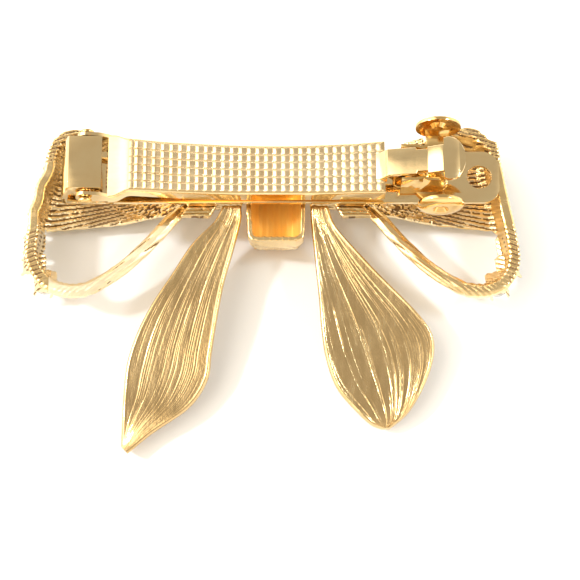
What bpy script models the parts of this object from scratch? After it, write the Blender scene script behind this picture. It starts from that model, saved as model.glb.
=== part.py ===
"""Bow barrette with a French clip, lying on its stones with the clip facing up.

+X runs along the clip from the hinge to the clasp, +Y to the bow's top edge, +Z out of the back.
Sizes below are millimetres; everything is written to the scene in metres.
"""

import math

import bmesh
import bpy
from mathutils import Matrix, Vector

MM = 0.001
GAP = 0.25  # clearance left between neighbouring pieces

# frame: middle of the whole object's box, measured in clip coordinates
CENTRE_X, CENTRE_Y = -0.88, -19.17

# heights above the table
BASE_LOW, BASE_TOP = 10.4, 11.2  # clip's base plate
RIM_Z = 9.5  # back edges of the bow's loops
STONE_TABLE = 0.15

# clip
CLIP_LEFT, CLIP_RIGHT = -39.6, 41.3
BASE_HALF = 5.1
HOLE_X, HOLE_R = 37.6, 2.3
PIVOT_X, PIVOT_Z = -34.6, BASE_TOP + 4.9
BLOCK_TOP = BASE_TOP + 7.2
ARM_END = 19.9
WAFFLE_X0, WAFFLE_X1, WAFFLE_COLS, WAFFLE_ROWS = -26.4, 19.3, 29, 6
WAFFLE_BUMP = 0.28
SHEET = 0.7

# clasp
WALL_Y, WALL_X0, WALL_X1, WALL_TOP = 3.0, 22.8, 30.6, BASE_TOP + 7.0
PAD_X, PAD_Y, PAD_Z, PAD_R = 29.8, 7.9, BASE_TOP + 5.3, 4.2

# stones
STONE_R, SEAT_R, PRONG_R = 1.8, 1.95, 2.4

for old in list(bpy.data.objects):
    bpy.data.objects.remove(old, do_unlink=True)


def material(name, colour, metallic, roughness, transmission=0.0):
    m = bpy.data.materials.new(name)
    m.use_nodes = True
    shader = m.node_tree.nodes["Principled BSDF"]
    shader.inputs["Base Color"].default_value = (*colour, 1)
    shader.inputs["Metallic"].default_value = metallic
    shader.inputs["Roughness"].default_value = roughness
    shader.inputs["Transmission Weight"].default_value = transmission
    return m


CAST = material("cast_gold", (0.83, 0.62, 0.3), 1.0, 0.28)
SHEET_GOLD = material("sheet_gold", (0.86, 0.68, 0.38), 1.0, 0.16)
SPRING = material("spring_gold", (0.82, 0.63, 0.34), 1.0, 0.2)
SOLDER = material("solder", (0.62, 0.58, 0.5), 1.0, 0.45)
STONE = material("rhinestone", (0.95, 0.96, 0.97), 0.0, 0.03, 0.6)


def spline(points, count):
    """Catmull-Rom curve through the points, as count samples."""
    p = [Vector(q) for q in points]
    p = [p[0] * 2 - p[1]] + p + [p[-1] * 2 - p[-2]]
    spans = len(p) - 3
    out = []
    for i in range(count):
        t = i / (count - 1) * spans
        k = min(int(t), spans - 1)
        t -= k
        a, b, c, d = p[k : k + 4]
        out.append(
            0.5 * (2 * b + (c - a) * t + (2 * a - 5 * b + 4 * c - d) * t * t
                   + (3 * b - a - 3 * c + d) * t * t * t)
        )
    return out


def at(points, x):
    """Height read off a curve of (x, value) points, with smooth steps between them."""
    if x <= points[0][0]:
        return points[0][1]
    for (x0, v0), (x1, v1) in zip(points, points[1:]):
        if x <= x1:
            t = (x - x0) / (x1 - x0)
            return v0 + (v1 - v0) * t * t * (3 - 2 * t)
    return points[-1][1]


def solid(name, verts, faces, mat, origin=(0, 0, 0)):
    """One object from millimetre vertices in clip coordinates, its origin where asked."""
    mesh = bpy.data.meshes.new(name)
    o = Vector(origin)
    mesh.from_pydata([(Vector(v) - o) * MM for v in verts], [], faces)
    bm = bmesh.new()
    bm.from_mesh(mesh)
    bmesh.ops.recalc_face_normals(bm, faces=bm.faces)
    if bm.calc_volume(signed=True) < 0:
        bmesh.ops.reverse_faces(bm, faces=bm.faces)
    bm.to_mesh(mesh)
    bm.free()
    mesh.materials.append(mat)
    obj = bpy.data.objects.new(name, mesh)
    obj.location = (o - Vector((CENTRE_X, CENTRE_Y, 0))) * MM
    bpy.context.scene.collection.objects.link(obj)
    return obj


def loft(rings, closed=False):
    """Vertices and faces through rings of equal length; ends capped unless the rings close."""
    n = len(rings[0])
    verts = [v for ring in rings for v in ring]
    faces = []
    spans = len(rings) if closed else len(rings) - 1
    for i in range(spans):
        a, b = i * n, (i + 1) % len(rings) * n
        for j in range(n):
            k = (j + 1) % n
            faces.append((a + j, a + k, b + k, b + j))
    if not closed:
        faces += [tuple(range(n)), tuple(range(len(verts) - n, len(verts)))]
    return verts, faces


def joined(shapes):
    verts, faces = [], []
    for v, f in shapes:
        n = len(verts)
        verts += list(v)
        faces += [tuple(i + n for i in face) for face in f]
    return verts, faces


def combine(obj, shape, operation):
    """Boolean of the object with one more shape, kept as plain mesh."""
    verts, faces = shape
    tool = solid("tool", verts, faces, obj.data.materials[0], (0, 0, 0))
    mod = obj.modifiers.new("b", "BOOLEAN")
    mod.operation, mod.solver, mod.object = operation, "EXACT", tool
    mod.use_self = False
    bpy.context.view_layer.update()
    graph = bpy.context.evaluated_depsgraph_get()
    mesh = bpy.data.meshes.new_from_object(obj.evaluated_get(graph))
    obj.modifiers.clear()
    obj.data = mesh
    bpy.data.objects.remove(tool, do_unlink=True)
    return obj


def box(x0, x1, y0, y1, z0, z1):
    return loft([[(x, y0, z0), (x, y1, z0), (x, y1, z1), (x, y0, z1)] for x in (x0, x1)])


def prism(outline, z0, z1):
    return loft([[(x, y, z) for x, y in outline] for z in (z0, z1)])


def prism_y(outline, y0, y1):
    """Outline in X and Z, run along Y."""
    return loft([[(x, y, z) for x, z in outline] for y in (y0, y1)])


def circle(cx, cy, r, n=20, start=0.0, sweep=2 * math.pi):
    end = n if sweep >= 2 * math.pi - 1e-6 else n - 1
    return [
        (cx + r * math.cos(start + sweep * i / end), cy + r * math.sin(start + sweep * i / end))
        for i in range(n)
    ]


def rod_y(x, z, r, y0, y1, n=20):
    return prism_y(circle(x, z, r, n), y0, y1)


def smooth(obj, angle=35):
    for poly in obj.data.polygons:
        poly.use_smooth = True
    obj.data.set_sharp_from_angle(angle=math.radians(angle))
    return obj


# ---------------------------------------------------------------- settings and stones
def tipped(verts, pivot, out, lean):
    """Points turned about the pivot so that straight down leans towards the outward direction."""
    axis = Vector((out[1], -out[0], 0)).normalized()
    turn = Matrix.Rotation(math.radians(lean), 3, axis)
    return [tuple(turn @ (Vector(v) - pivot) + pivot) for v in verts]


def setting(x, y, top, low, turn):
    """Four-prong cup: square floor from top down to low, prongs on down to the stone's table."""
    angles, kinds = [], []
    for k in range(4):
        mid = turn + math.pi / 4 + k * math.pi / 2
        angles += [mid - 0.13, mid + 0.13]
        kinds += [True, False]
    prong = low - (1.25 + GAP)
    inner = [(x + SEAT_R * math.cos(a), y + SEAT_R * math.sin(a)) for a in angles]
    outer = [(x + PRONG_R * math.cos(a), y + PRONG_R * math.sin(a)) for a in angles]
    verts = [(*p, top) for p in outer] + [(*p, low) for p in outer] + [(*p, low) for p in inner]
    faces = [tuple(range(8)), tuple(range(16, 24))]
    for i in range(8):
        j = (i + 1) % 8
        faces.append((i, j, 8 + j, 8 + i))
        if not kinds[i]:
            faces.append((8 + i, 8 + j, 16 + j, 16 + i))
            continue
        n = len(verts)
        tip = [verts[8 + i], verts[8 + j], verts[16 + j], verts[16 + i]]
        verts += [(p[0], p[1], prong) for p in tip]
        faces.append((n, n + 1, n + 2, n + 3))
        ring = [8 + i, 8 + j, 16 + j, 16 + i]
        faces += [(ring[a], ring[(a + 1) % 4], n + (a + 1) % 4, n + a) for a in range(4)]
    return verts, faces


def stone_mesh():
    """Flat-backed round stone, table down, with its back at the origin."""
    rows = [(STONE_R, 0), (STONE_R, -0.35), (0.8, -1.1)]
    rings = [[(r * math.cos(math.tau * i / 12), r * math.sin(math.tau * i / 12), z)
              for i in range(12)] for r, z in rows]
    verts, faces = loft(rings)
    obj = solid("stone", verts, faces, STONE)
    mesh = obj.data
    bpy.data.objects.remove(obj, do_unlink=True)
    return mesh


STONE_MESH = stone_mesh()


def place_stone(name, x, y, low, out=(1, 0), lean=0.0):
    """Stone hung under a setting whose floor is at low, leaning with it."""
    obj = bpy.data.objects.new(name, STONE_MESH)
    turn = Matrix.Rotation(math.radians(lean), 3, Vector((out[1], -out[0], 0)).normalized())
    back = Vector((x - CENTRE_X, y - CENTRE_Y, low)) + turn @ Vector((0, 0, -GAP))
    obj.rotation_euler = turn.to_euler()
    obj.location = back * MM
    bpy.context.scene.collection.objects.link(obj)


# ---------------------------------------------------------------- bow loops
# outer outline of a loop's back rim: distance out from the middle, Y, height of the rim
LEFT_RIM = [
    (24.0, 9.2, 6.6), (33.0, 10.2, 8.6), (38.6, 10.4, 9.5), (41.6, 8.4, 9.5), (42.5, 6.3, 9.5),
    (43.0, 4.0, 9.5), (43.2, 2.0, 9.5), (44.5, -0.6, 9.5), (44.9, -3.6, 9.5), (45.7, -6.0, 9.5),
    (45.7, -9.3, 9.5), (46.0, -12.6, 9.5), (45.9, -15.4, 9.5), (44.5, -18.6, 9.2),
    (42.0, -21.2, 9.0), (38.6, -22.3, 8.8), (35.0, -22.1, 8.6), (31.4, -20.5, 8.5),
    (26.7, -17.0, 8.4), (21.9, -12.1, 8.4), (18.8, -8.4, 8.5), (16.9, -6.0, 7.7), (14.6, -4.0, 7.1),
]
RIGHT_RIM = [
    (24.0, 9.0, 6.6), (30.4, 10.2, 8.4), (34.2, 10.9, 9.3), (37.6, 10.6, 9.5), (39.9, 8.6, 9.5),
    (41.5, 7.6, 9.5), (41.9, 4.4, 9.5), (42.5, 0.6, 9.5), (43.2, -4.0, 9.5), (44.0, -8.2, 9.5),
    (44.6, -12.4, 9.5), (44.8, -15.4, 9.5), (44.2, -18.2, 9.2), (42.2, -20.9, 9.0),
    (38.8, -22.3, 8.8), (35.0, -22.1, 8.6), (31.4, -20.5, 8.5),
    (26.7, -17.0, 8.4), (21.9, -12.1, 8.4), (18.8, -8.4, 8.5), (16.9, -6.0, 7.7), (14.6, -4.0, 7.1),
]
PINCH_X = 6.3  # loops stop here, beside the knot
# height of the front panel's outer face, by distance from the middle
PANEL_FACE = [(PINCH_X, 5.6), (13, 4.6), (24, 2.6), (33, 1.75), (45, 1.75)]
PANEL_T = 0.9
PANEL_LOW = [(PINCH_X, -4.1), (15, -4.4), (20.6, -5.0), (30, -6.4), (39.5, -7.2), (45, -7.6)]
PANEL_HIGH = [(PINCH_X, 4.2), (14, 6.6), (22, 8.6), (31, 9.8), (38.4, 10.0), (41, 8.0), (43.4, 1.5)]


def rim_normal(path, i):
    a, b = path[max(i - 1, 0)], path[min(i + 1, len(path) - 1)]
    d = Vector((b.x - a.x, b.y - a.y))
    d.normalize()
    return Vector((-d.y, d.x))


def loop(name, side, rim, slope, reach):
    """Hollow loop: front panel, outer wall with a flat back rim, and a rounded lower band."""
    path = spline(rim, 60)
    rings = []
    for i, p in enumerate(path):
        out = rim_normal(path, i)
        s = i / (len(path) - 1)
        # the wall is deep beside the panel and thins to a rod along the lower band
        depth = at([(0, 4.2), (0.16, 7.2), (0.5, 7.2), (0.64, 3.0), (0.9, 2.4), (1, 1.9)], s)
        width = at([(0, 1.3), (0.2, 1.9), (0.5, 2.1), (0.66, 2.6), (0.93, 2.6), (1, 2.4)], s)
        bevel = at([(0, 0.25), (0.55, 0.3), (0.7, 0.75), (1, 0.75)], s)
        w, h = width, depth
        lean = at(slope, s)
        section = [
            (0, -bevel), (-bevel, 0), (-w + bevel, 0), (-w, -bevel),
            (-w - lean * 0.9, -h + bevel), (-w - lean * 0.9 + bevel, -h),
            (-bevel - lean, -h), (-lean, -h + bevel),
        ]
        # path runs clockwise for the left loop, so the outward side is the left normal
        rings.append([(side * (p.x + out.x * u), p.y + out.y * u, p.z + v) for u, v in section])
    obj = solid(name, *loft(rings), CAST)

    def panel_ring(x):
        low, high = at(PANEL_LOW, x), at(PANEL_HIGH, x)
        face = at(PANEL_FACE, x)
        under, over = [], []
        for k in range(7):
            t = k / 6
            y = low + (high - low) * t
            dome = 0.5 * (2 * t - 1) ** 2 * min(1.0, (45 - x) / 8)
            under.append((side * x, y, face + dome))
            over.append((side * x, y, face + dome + PANEL_T))
        return under + over[::-1]

    xs = [PINCH_X + (reach - PINCH_X) * i / 18 for i in range(19)]
    combine(obj, loft([panel_ring(x) for x in xs]), "UNION")
    # raised pinch where the loop runs in behind the knot
    pinch = [[(side * x, y0, z0), (side * x, y1, z0), (side * x, y1, z1), (side * x, y0, z1)]
             for x, y0, y1, z0, z1 in (
                 (PINCH_X, -3.8, 4.0, 5.9, 7.7), (11, -4.0, 4.6, 5.2, 7.7),
                 (15.4, -4.2, 4.8, 4.6, 7.6), (18.6, -4.4, 4.6, 4.2, 6.4))]
    combine(obj, loft(pinch), "UNION")
    return obj


def stone_row(obj, name, side, spots):
    """Settings cast onto a loop and the stones in them, the outer ones leaning outwards."""
    shapes = []
    for i, (x, y, turn, heading, lean, low) in enumerate(spots):
        x, out = side * x, (side * math.cos(math.radians(heading)), math.sin(math.radians(heading)))
        pivot = Vector((x, y, low))
        if lean:
            seat = prism(circle(x, y, SEAT_R + 0.9, 16), low - 4, low - 0.06)
            combine(obj, (tipped(seat[0], pivot, out, lean), seat[1]), "DIFFERENCE")
        cup = setting(x, y, low + (2.3 if low > 3 and lean else 1.5 if lean else 0.95), low, side * turn)
        shapes.append((tipped(cup[0], pivot, out, lean) if lean else cup[0], cup[1]))
        place_stone(f"{name}_stone_{i + 1:02d}", x, y, low, out, lean)
    for shape in shapes:
        combine(obj, shape, "UNION")
    return smooth(obj, 30)


# x, y, turn of the prongs, heading of the lean, degrees it leans, height of the cup's floor
LEFT_SPOTS = [
    (11.6, 2.0, 0.1, 0, 0, 4.5), (16.2, 4.4, 0.3, 0, 0, 3.85), (20.9, 6.3, 0.3, 0, 0, 2.9),
    (25.7, 7.9, 0.3, 0, 0, 2.15), (30.6, 8.8, 0.2, 0, 0, 1.6), (35.3, 9.4, 0.0, 90, 22, 2.32),
    (39.8, 8.3, 0.0, 45, 24, 2.36), (42.3, 4.2, 0.0, 10, 24, 2.36), (43.6, -0.5, 0.0, 8, 24, 2.36),
    (44.7, -5.2, 0.0, 5, 24, 2.36), (45.4, -9.9, 0.0, 0, 24, 2.36), (45.3, -14.6, 0.0, -10, 26, 3.3),
    (42.8, -18.7, 0.0, -50, 28, 4.2),
]
RIGHT_SPOTS = [
    (11.6, 2.0, 0.1, 0, 0, 4.5), (16.2, 4.4, 0.3, 0, 0, 3.85), (20.9, 6.3, 0.3, 0, 0, 2.9),
    (25.7, 7.9, 0.3, 0, 0, 2.15), (30.4, 8.8, 0.2, 0, 0, 1.6), (34.4, 9.6, 0.1, 90, 22, 2.47),
    (38.6, 7.9, 0.1, 50, 24, 2.51), (40.7, 3.6, 0.1, 10, 24, 2.51), (41.7, -1.1, 0.1, 10, 24, 2.51),
    (42.7, -5.8, 0.1, 8, 24, 2.51), (43.5, -10.5, 0.1, 5, 24, 2.51), (43.4, -15.2, 0.1, -12, 26, 3.45),
    (41.0, -19.2, 0.1, -55, 28, 4.35),
]

WALL_SLOPE = [(0, 0.1), (0.06, 1.2), (0.13, 1.6), (0.24, 0.5), (0.5, 0.3), (1, 0.1)]
DOME_SLOPE = [(0, 0.1), (0.06, 2.6), (0.13, 3.4), (0.2, 2.0), (0.27, 0.6), (0.5, 0.3), (1, 0.1)]
left = loop("left_loop", -1, LEFT_RIM, WALL_SLOPE, 43.0)
stone_row(left, "left_loop", -1, LEFT_SPOTS)
right = loop("right_loop", 1, RIGHT_RIM, DOME_SLOPE, 41.0)
stone_row(right, "right_loop", 1, RIGHT_SPOTS)


# ---------------------------------------------------------------- tails
def tail(name, left_edge, right_edge, heights, cup):
    """Thin blade between two edges; its back face is slightly hollow across."""
    a, b = spline(left_edge, 22), spline(right_edge, 22)
    rings = []
    for i, (p, q) in enumerate(zip(a, b)):
        s = i / 21
        z = at(heights, s)
        row, under = [], []
        for k in range(7):
            t = k / 6
            e = p.lerp(q, t)
            bend = cup * (2 * t - 1) ** 2 * math.sin(math.pi * min(1, s * 1.02 + 0.05))
            edge = 0.25 if k in (0, 6) else 0.0
            row.append((e.x, e.y, z + bend - edge * 0.6))
            under.append((e.x, e.y, z + bend - 1.3 + edge))
        rings.append(row + under[::-1])
    return smooth(solid(name, *loft(rings), CAST), 40)


TAIL_HEIGHTS = [(0, 8.5), (0.12, 8.0), (0.35, 6.9), (0.8, 3.9), (1, 2.6)]
tail(
    "left_tail",
    [(-9.9, -4.6), (-11.6, -7.6), (-15.7, -11.9), (-19.5, -17.9), (-23.0, -23.6), (-25.6, -29.0),
     (-27.2, -34.2), (-27.7, -39.7), (-27.9, -45.1), (-28.1, -48.7)],
    [(-6.4, -4.6), (-6.5, -7.3), (-7.7, -12.5), (-9.5, -19.1), (-10.7, -25.7), (-11.7, -32.1),
     (-12.5, -37.2), (-15.9, -42.2), (-22.6, -46.9), (-26.8, -50.4)],
    TAIL_HEIGHTS, 0.7,
)
tail(
    "right_tail",
    [(6.4, -4.6), (6.5, -7.7), (7.2, -15.4), (7.8, -21.6), (8.2, -27.3), (9.0, -33.0),
     (10.8, -38.2), (13.7, -41.9), (16.9, -44.9), (19.1, -45.6)],
    [(9.7, -4.6), (11.2, -8.6), (16.4, -14.8), (21.4, -20.1), (26.1, -25.2), (28.6, -29.0),
     (28.7, -33.1), (26.8, -38.4), (24.0, -42.9), (20.7, -45.6)],
    TAIL_HEIGHTS, 0.8,
)


# ---------------------------------------------------------------- knot
def rounded(x0, x1, y0, y1, taper, r, n=4):
    """Rounded rectangle, counter-clockwise; its lower edge is narrower by taper each side."""
    corners = [(x1, y1, 0), (x0, y1, 90), (x0 + taper, y0, 180), (x1 - taper, y0, 270)]
    out = []
    for cx, cy, a in corners:
        ox = cx - r if a in (0, 270) else cx + r
        oy = cy - r if a in (0, 90) else cy + r
        out += [(ox + r * math.cos(math.radians(a + 90 * k / (n - 1))),
                 oy + r * math.sin(math.radians(a + 90 * k / (n - 1)))) for k in range(n)]
    return out


KNOT_LEVELS = [(1.75, 1.9), (2.3, 1.1), (4.0, 0.35), (6.0, 0.0), (9.2, 0.0)]
rings = []
for z, inset in KNOT_LEVELS:
    o = rounded(-5.9 + inset, 5.9 - inset, -11.8 + inset * 0.7, 6.2 - inset, 0.7, 1.5)
    rings.append([(x, y, z) for x, y in o])
hollow = [[(x, y, z) for x, y in rounded(-5.1 + i, 5.1 - i, -11.0 + i, 5.4 - i, 0.7, 1.0)]
          for z, i in ((3.0, 1.4), (4.6, 0.5), (6.4, 0.0), (9.6, 0.0))]
knot = solid("knot", *loft(rings), CAST)
combine(knot, loft(hollow), "DIFFERENCE")
combine(knot, box(-7, 7, -4.3, 7, 7.7, 10), "DIFFERENCE")
KNOT_SPOTS = [(x, y) for y in (-8.2, -3.4, 1.4) for x in (-2.4, 2.4)]
combine(knot, joined([setting(x, y, 2.6, 1.5, 0.0) for x, y in KNOT_SPOTS]), "UNION")
smooth(knot, 30)
for i, (x, y) in enumerate(KNOT_SPOTS):
    place_stone(f"knot_stone_{i + 1:02d}", x, y, 1.5)

# ---------------------------------------------------------------- bar and solder under the clip
bar = [(-16.3, -5.0), (-17.6, -7.0), (-12.3, -7.2), (-10.4, -3.9), (10.4, -3.9), (12.3, -7.2),
       (17.6, -7.0), (16.3, -5.0), (17.8, -3.0), (17.6, 4.4), (16.6, 5.0), (-16.6, 5.0),
       (-17.6, 4.4), (-17.8, -3.0)]
solid("centre_bar", *prism(bar, 8.2, 9.45), CAST)
for name, x in (("left_solder", -12.0), ("right_solder", 12.0)):
    pad = [[(x + a * r, b, z) for a, b in circle(0, 0, 3.4, 20)]
           for z, r in ((9.45 + 0.15, 1.0), (9.9, 1.12), (BASE_LOW - 0.15, 1.0))]
    smooth(solid(name, *loft(pad), SOLDER))

# ---------------------------------------------------------------- clip base
BLOCK_LEFT, BLOCK_RIGHT = -38.0, -31.6
profile = [(CLIP_LEFT + 0.5, BASE_LOW), (24.0, BASE_LOW), (CLIP_RIGHT, BASE_LOW),
           (CLIP_RIGHT, BASE_TOP), (CLIP_LEFT + 1.1, BASE_TOP), (BLOCK_LEFT + SHEET, BLOCK_TOP - SHEET),
           (BLOCK_RIGHT, BLOCK_TOP - SHEET), (BLOCK_RIGHT, BLOCK_TOP),
           (BLOCK_LEFT + 0.4, BLOCK_TOP), (BLOCK_LEFT, BLOCK_TOP - 0.4),
           (CLIP_LEFT + 0.1, BASE_LOW + 1.3), (CLIP_LEFT, BASE_LOW + 0.7)]
base = solid("base_plate", *prism_y(profile, -BASE_HALF, BASE_HALF), SHEET_GOLD)
ear = [(BLOCK_LEFT + 0.3, BLOCK_TOP - 0.2), (BLOCK_RIGHT, BLOCK_TOP - 0.2),
       (BLOCK_RIGHT, PIVOT_Z - 0.4), (-32.4, PIVOT_Z - 1.5), (-36.7, PIVOT_Z - 1.5),
       (BLOCK_LEFT - 0.2, PIVOT_Z - 1.0)]
for y in (-BASE_HALF, BASE_HALF - 0.6):
    combine(base, prism_y(ear, y, y + 0.6), "UNION")
combine(base, rod_y(PIVOT_X, PIVOT_Z, 0.75 + GAP, -8, 8), "DIFFERENCE")
combine(base, prism(circle(HOLE_X, 0, HOLE_R, 28), 9, 13), "DIFFERENCE")
# rounded corners at both ends, slots that hold the spring strip and the clasp rivet
for s in (-1, 1):
    for end, way, r in ((CLIP_RIGHT, 1, 3.1), (CLIP_LEFT, -1, 1.1)):
        arc = [(end - way * r * (1 - math.sin(a)), s * (BASE_HALF - r * (1 - math.cos(a))))
               for a in (math.pi / 2 * k / 6 for k in range(7))]
        corner = [(end - way * (r + 0.01), s * (BASE_HALF + 1)), *arc, (end + way, s * (BASE_HALF - r)),
                  (end + way, s * (BASE_HALF + 1))]
        combine(base, prism(corner, 9, 13), "DIFFERENCE")
    combine(base, box(-31.3, -29.9, s * 3.9, s * 6, 9, 13), "DIFFERENCE")
combine(base, box(-31.4, -29.8, -2.4, 2.4, 9, 13), "DIFFERENCE")
combine(base, prism(circle(26.7, 0, 0.9 + GAP, 20), 9, 13), "DIFFERENCE")
smooth(base, 30)

pin = [[(PIVOT_X + a, y, PIVOT_Z + b) for a, b in circle(0, 0, r, 20)]
       for y, r in ((-7.15, 0.9), (-6.95, 1.25), (-6.55, 1.25), (-6.54, 0.75), (6.54, 0.75),
                    (6.55, 1.25), (6.95, 1.25), (7.15, 0.9))]
smooth(solid("hinge_pin", *loft(pin), SPRING), 30)

# ---------------------------------------------------------------- arm
ARM_TOP = [(-30.6, 5.35), (-28.6, 5.8), (-26.4, 6.0), (-20, 5.0), (-11, 4.0), (-2, 3.6), (6, 3.7), (13, 4.2), (20, 5.0)]
ARM_HALF = [(-29.6, 6.2), (-26.7, 5.2), (-20, 5.05), (0, 4.85), (14, 5.0), (20, 5.2)]
ARM_DEPTH = [(-30.6, 2.6), (-12, 3.0), (-3, 2.9), (8, 2.9), (20, 3.0)]


def arm_curve(x):
    pts = [Vector((a, b)) for a, b in ARM_TOP]
    for i in range(len(pts) - 1):
        if x <= pts[i + 1].x or i == len(pts) - 2:
            a = pts[max(i - 1, 0)]
            b, c = pts[i], pts[i + 1]
            d = pts[min(i + 2, len(pts) - 1)]
            t = (x - b.x) / (c.x - b.x)
            m0 = (c.y - a.y) / max(c.x - a.x, 1e-6) * (c.x - b.x)
            m1 = (d.y - b.y) / max(d.x - b.x, 1e-6) * (c.x - b.x)
            return ((2 * t**3 - 3 * t * t + 1) * b.y + (t**3 - 2 * t * t + t) * m0
                    + (3 * t * t - 2 * t**3) * c.y + (t**3 - t * t) * m1)


def arm_body():
    """Channel lofted along X, with a field of raised cushions over most of its top."""
    pitch = (WAFFLE_X1 - WAFFLE_X0) / WAFFLE_COLS
    xs = [-30.6, -29.8, -29.0, -28.2, -27.4]
    xs += [WAFFLE_X0 + pitch * i for i in range(WAFFLE_COLS + 1)] + [ARM_END]
    rows = WAFFLE_ROWS + 1
    rings = []
    for x in xs:
        w, z = at(ARM_HALF, x), BASE_TOP + arm_curve(x)
        d = at(ARM_DEPTH, x)
        field = w - 0.75
        top = [(x, field * (2 * k / (rows - 1) - 1), z) for k in range(rows)]
        over = [(x, -w, z - 0.6), (x, -w + 0.18, z - 0.18), (x, -w + 0.5, z)] + top
        over += [(x, w - 0.5, z), (x, w - 0.18, z - 0.18), (x, w, z - 0.6)]
        under = [(x, w, z - d), (x, w - SHEET, z - d), (x, w - SHEET, z - SHEET - 0.2),
                 (x, w - SHEET - 0.3, z - SHEET), (x, -w + SHEET + 0.3, z - SHEET),
                 (x, -w + SHEET, z - SHEET - 0.2), (x, -w + SHEET, z - d), (x, -w, z - d)]
        rings.append(over + under)
    verts, faces = loft(rings)
    n = len(rings[0])
    out = []
    first = xs.index(WAFFLE_X0)
    cells = {}
    for i in range(first, first + WAFFLE_COLS):
        for k in range(WAFFLE_ROWS):
            cells[(i * n + 3 + k, i * n + 4 + k)] = True
    for f in faces:
        if len(f) == 4 and (f[0], f[1]) in cells:
            c = sum((Vector(verts[i]) for i in f), Vector()) / 4 + Vector((0, 0, WAFFLE_BUMP))
            verts.append(tuple(c))
            m = len(verts) - 1
            out += [(f[a], f[(a + 1) % 4], m) for a in range(4)]
        else:
            out.append(f)
    return verts, out


arm = solid("arm", *arm_body(), SHEET_GOLD, (PIVOT_X, 0, PIVOT_Z))
lug = circle(PIVOT_X, PIVOT_Z, 1.75, 11, math.pi / 2, math.pi)
lug = lug + [(-32.6, PIVOT_Z - 1.75), (-29.9, BASE_TOP + 3.3), (-29.9, BASE_TOP + 4.9),
             (-32.0, PIVOT_Z + 1.3)]
for y in (-6.2, 5.55):
    combine(arm, prism_y(lug, y, y + 0.65), "UNION")
combine(arm, rod_y(PIVOT_X, PIVOT_Z, 0.75 + GAP, -8, 8), "DIFFERENCE")
tongue = []
for x, top, half in (
    (18.3, 4.95, 2.6), (19.0, 5.35, 2.6), (19.7, 6.3, 2.6), (20.3, 7.0, 2.6), (21.5, 7.25, 2.6),
    (25.35, 7.85, 2.6), (25.6, 7.9, 2.15), (27.4, 8.15, 2.15), (27.65, 8.25, 2.6),
    (28.6, 8.7, 2.6), (29.4, 9.0, 2.6), (30.2, 9.15, 2.7), (30.45, 9.15, 3.9), (31.2, 9.1, 4.2),
    (32.2, 9.0, 4.1), (33.0, 8.95, 3.6), (33.6, 8.95, 2.8), (34.0, 8.95, 2.0), (34.3, 8.95, 1.0),
):
    z, t = BASE_TOP + top, 0.7
    tongue.append([(x, -half, z), (x, half, z), (x, half, z - t), (x, -half, z - t)])
tongue[0] = [(18.3, y, z - 0.12) for _, y, z in tongue[0]]
riser = [(19.1, BASE_TOP + 4.3), (ARM_END, BASE_TOP + 4.5), (20.3, BASE_TOP + 6.4),
         (20.0, BASE_TOP + 6.7), (19.2, BASE_TOP + 5.2)]
combine(arm, loft(tongue), "UNION")
combine(arm, prism_y(riser, -2.5, 2.5), "UNION")
smooth(arm, 30)

# ---------------------------------------------------------------- spring strip
STRIP_X = -30.6
strip = []
for x, z, half in (
    (-31.0, -0.9, 1.6), (-30.9, -0.2, 1.7), (-30.5, 0.55, 1.9), (-29.0, 0.8, 3.0), (-24, 1.25, 3.4),
    (-16, 1.75, 3.4), (-8, 2.0, 3.4), (0, 2.05, 3.4), (8, 1.95, 3.4), (14, 1.75, 3.4),
    (18, 1.6, 3.0), (19.6, 1.75, 2.2), (20.4, 2.0, 1.6),
):
    z += BASE_TOP
    strip.append([(x, -half, z), (x, half, z), (x + (0.45 if x < -30.6 else 0), half, z - 0.4),
                  (x + (0.45 if x < -30.6 else 0), -half, z - 0.4)])
smooth(solid("tension_strip", *loft(strip), SPRING, (STRIP_X, 0, BASE_TOP + 0.2)), 30)

# ---------------------------------------------------------------- clasp
foot = [(21.6, -1.9), (22.4, -2.35), (30.8, -2.35), (31.6, -1.6), (31.6, 1.6), (30.8, 2.35),
        (22.4, 2.35), (21.6, 1.9)]
clasp = solid("clasp_base", *prism(foot, BASE_TOP + GAP, BASE_TOP + 0.85), SPRING)
combine(clasp, prism(circle(26.7, 0, 0.9 + GAP, 20), 9, 13), "DIFFERENCE")
smooth(clasp, 30)
rivet = [[(26.7 + a, b, z) for a, b in circle(0, 0, r, 20)]
         for z, r in ((BASE_LOW - 0.45, 1.3), (BASE_LOW - 0.25, 1.55), (BASE_LOW - 0.2, 0.9),
                      (BASE_TOP + 1.05, 0.9), (BASE_TOP + 1.1, 1.6), (BASE_TOP + 1.4, 1.45),
                      (BASE_TOP + 1.6, 0.9))]
smooth(solid("clasp_rivet", *loft(rivet), SPRING), 30)


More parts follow.
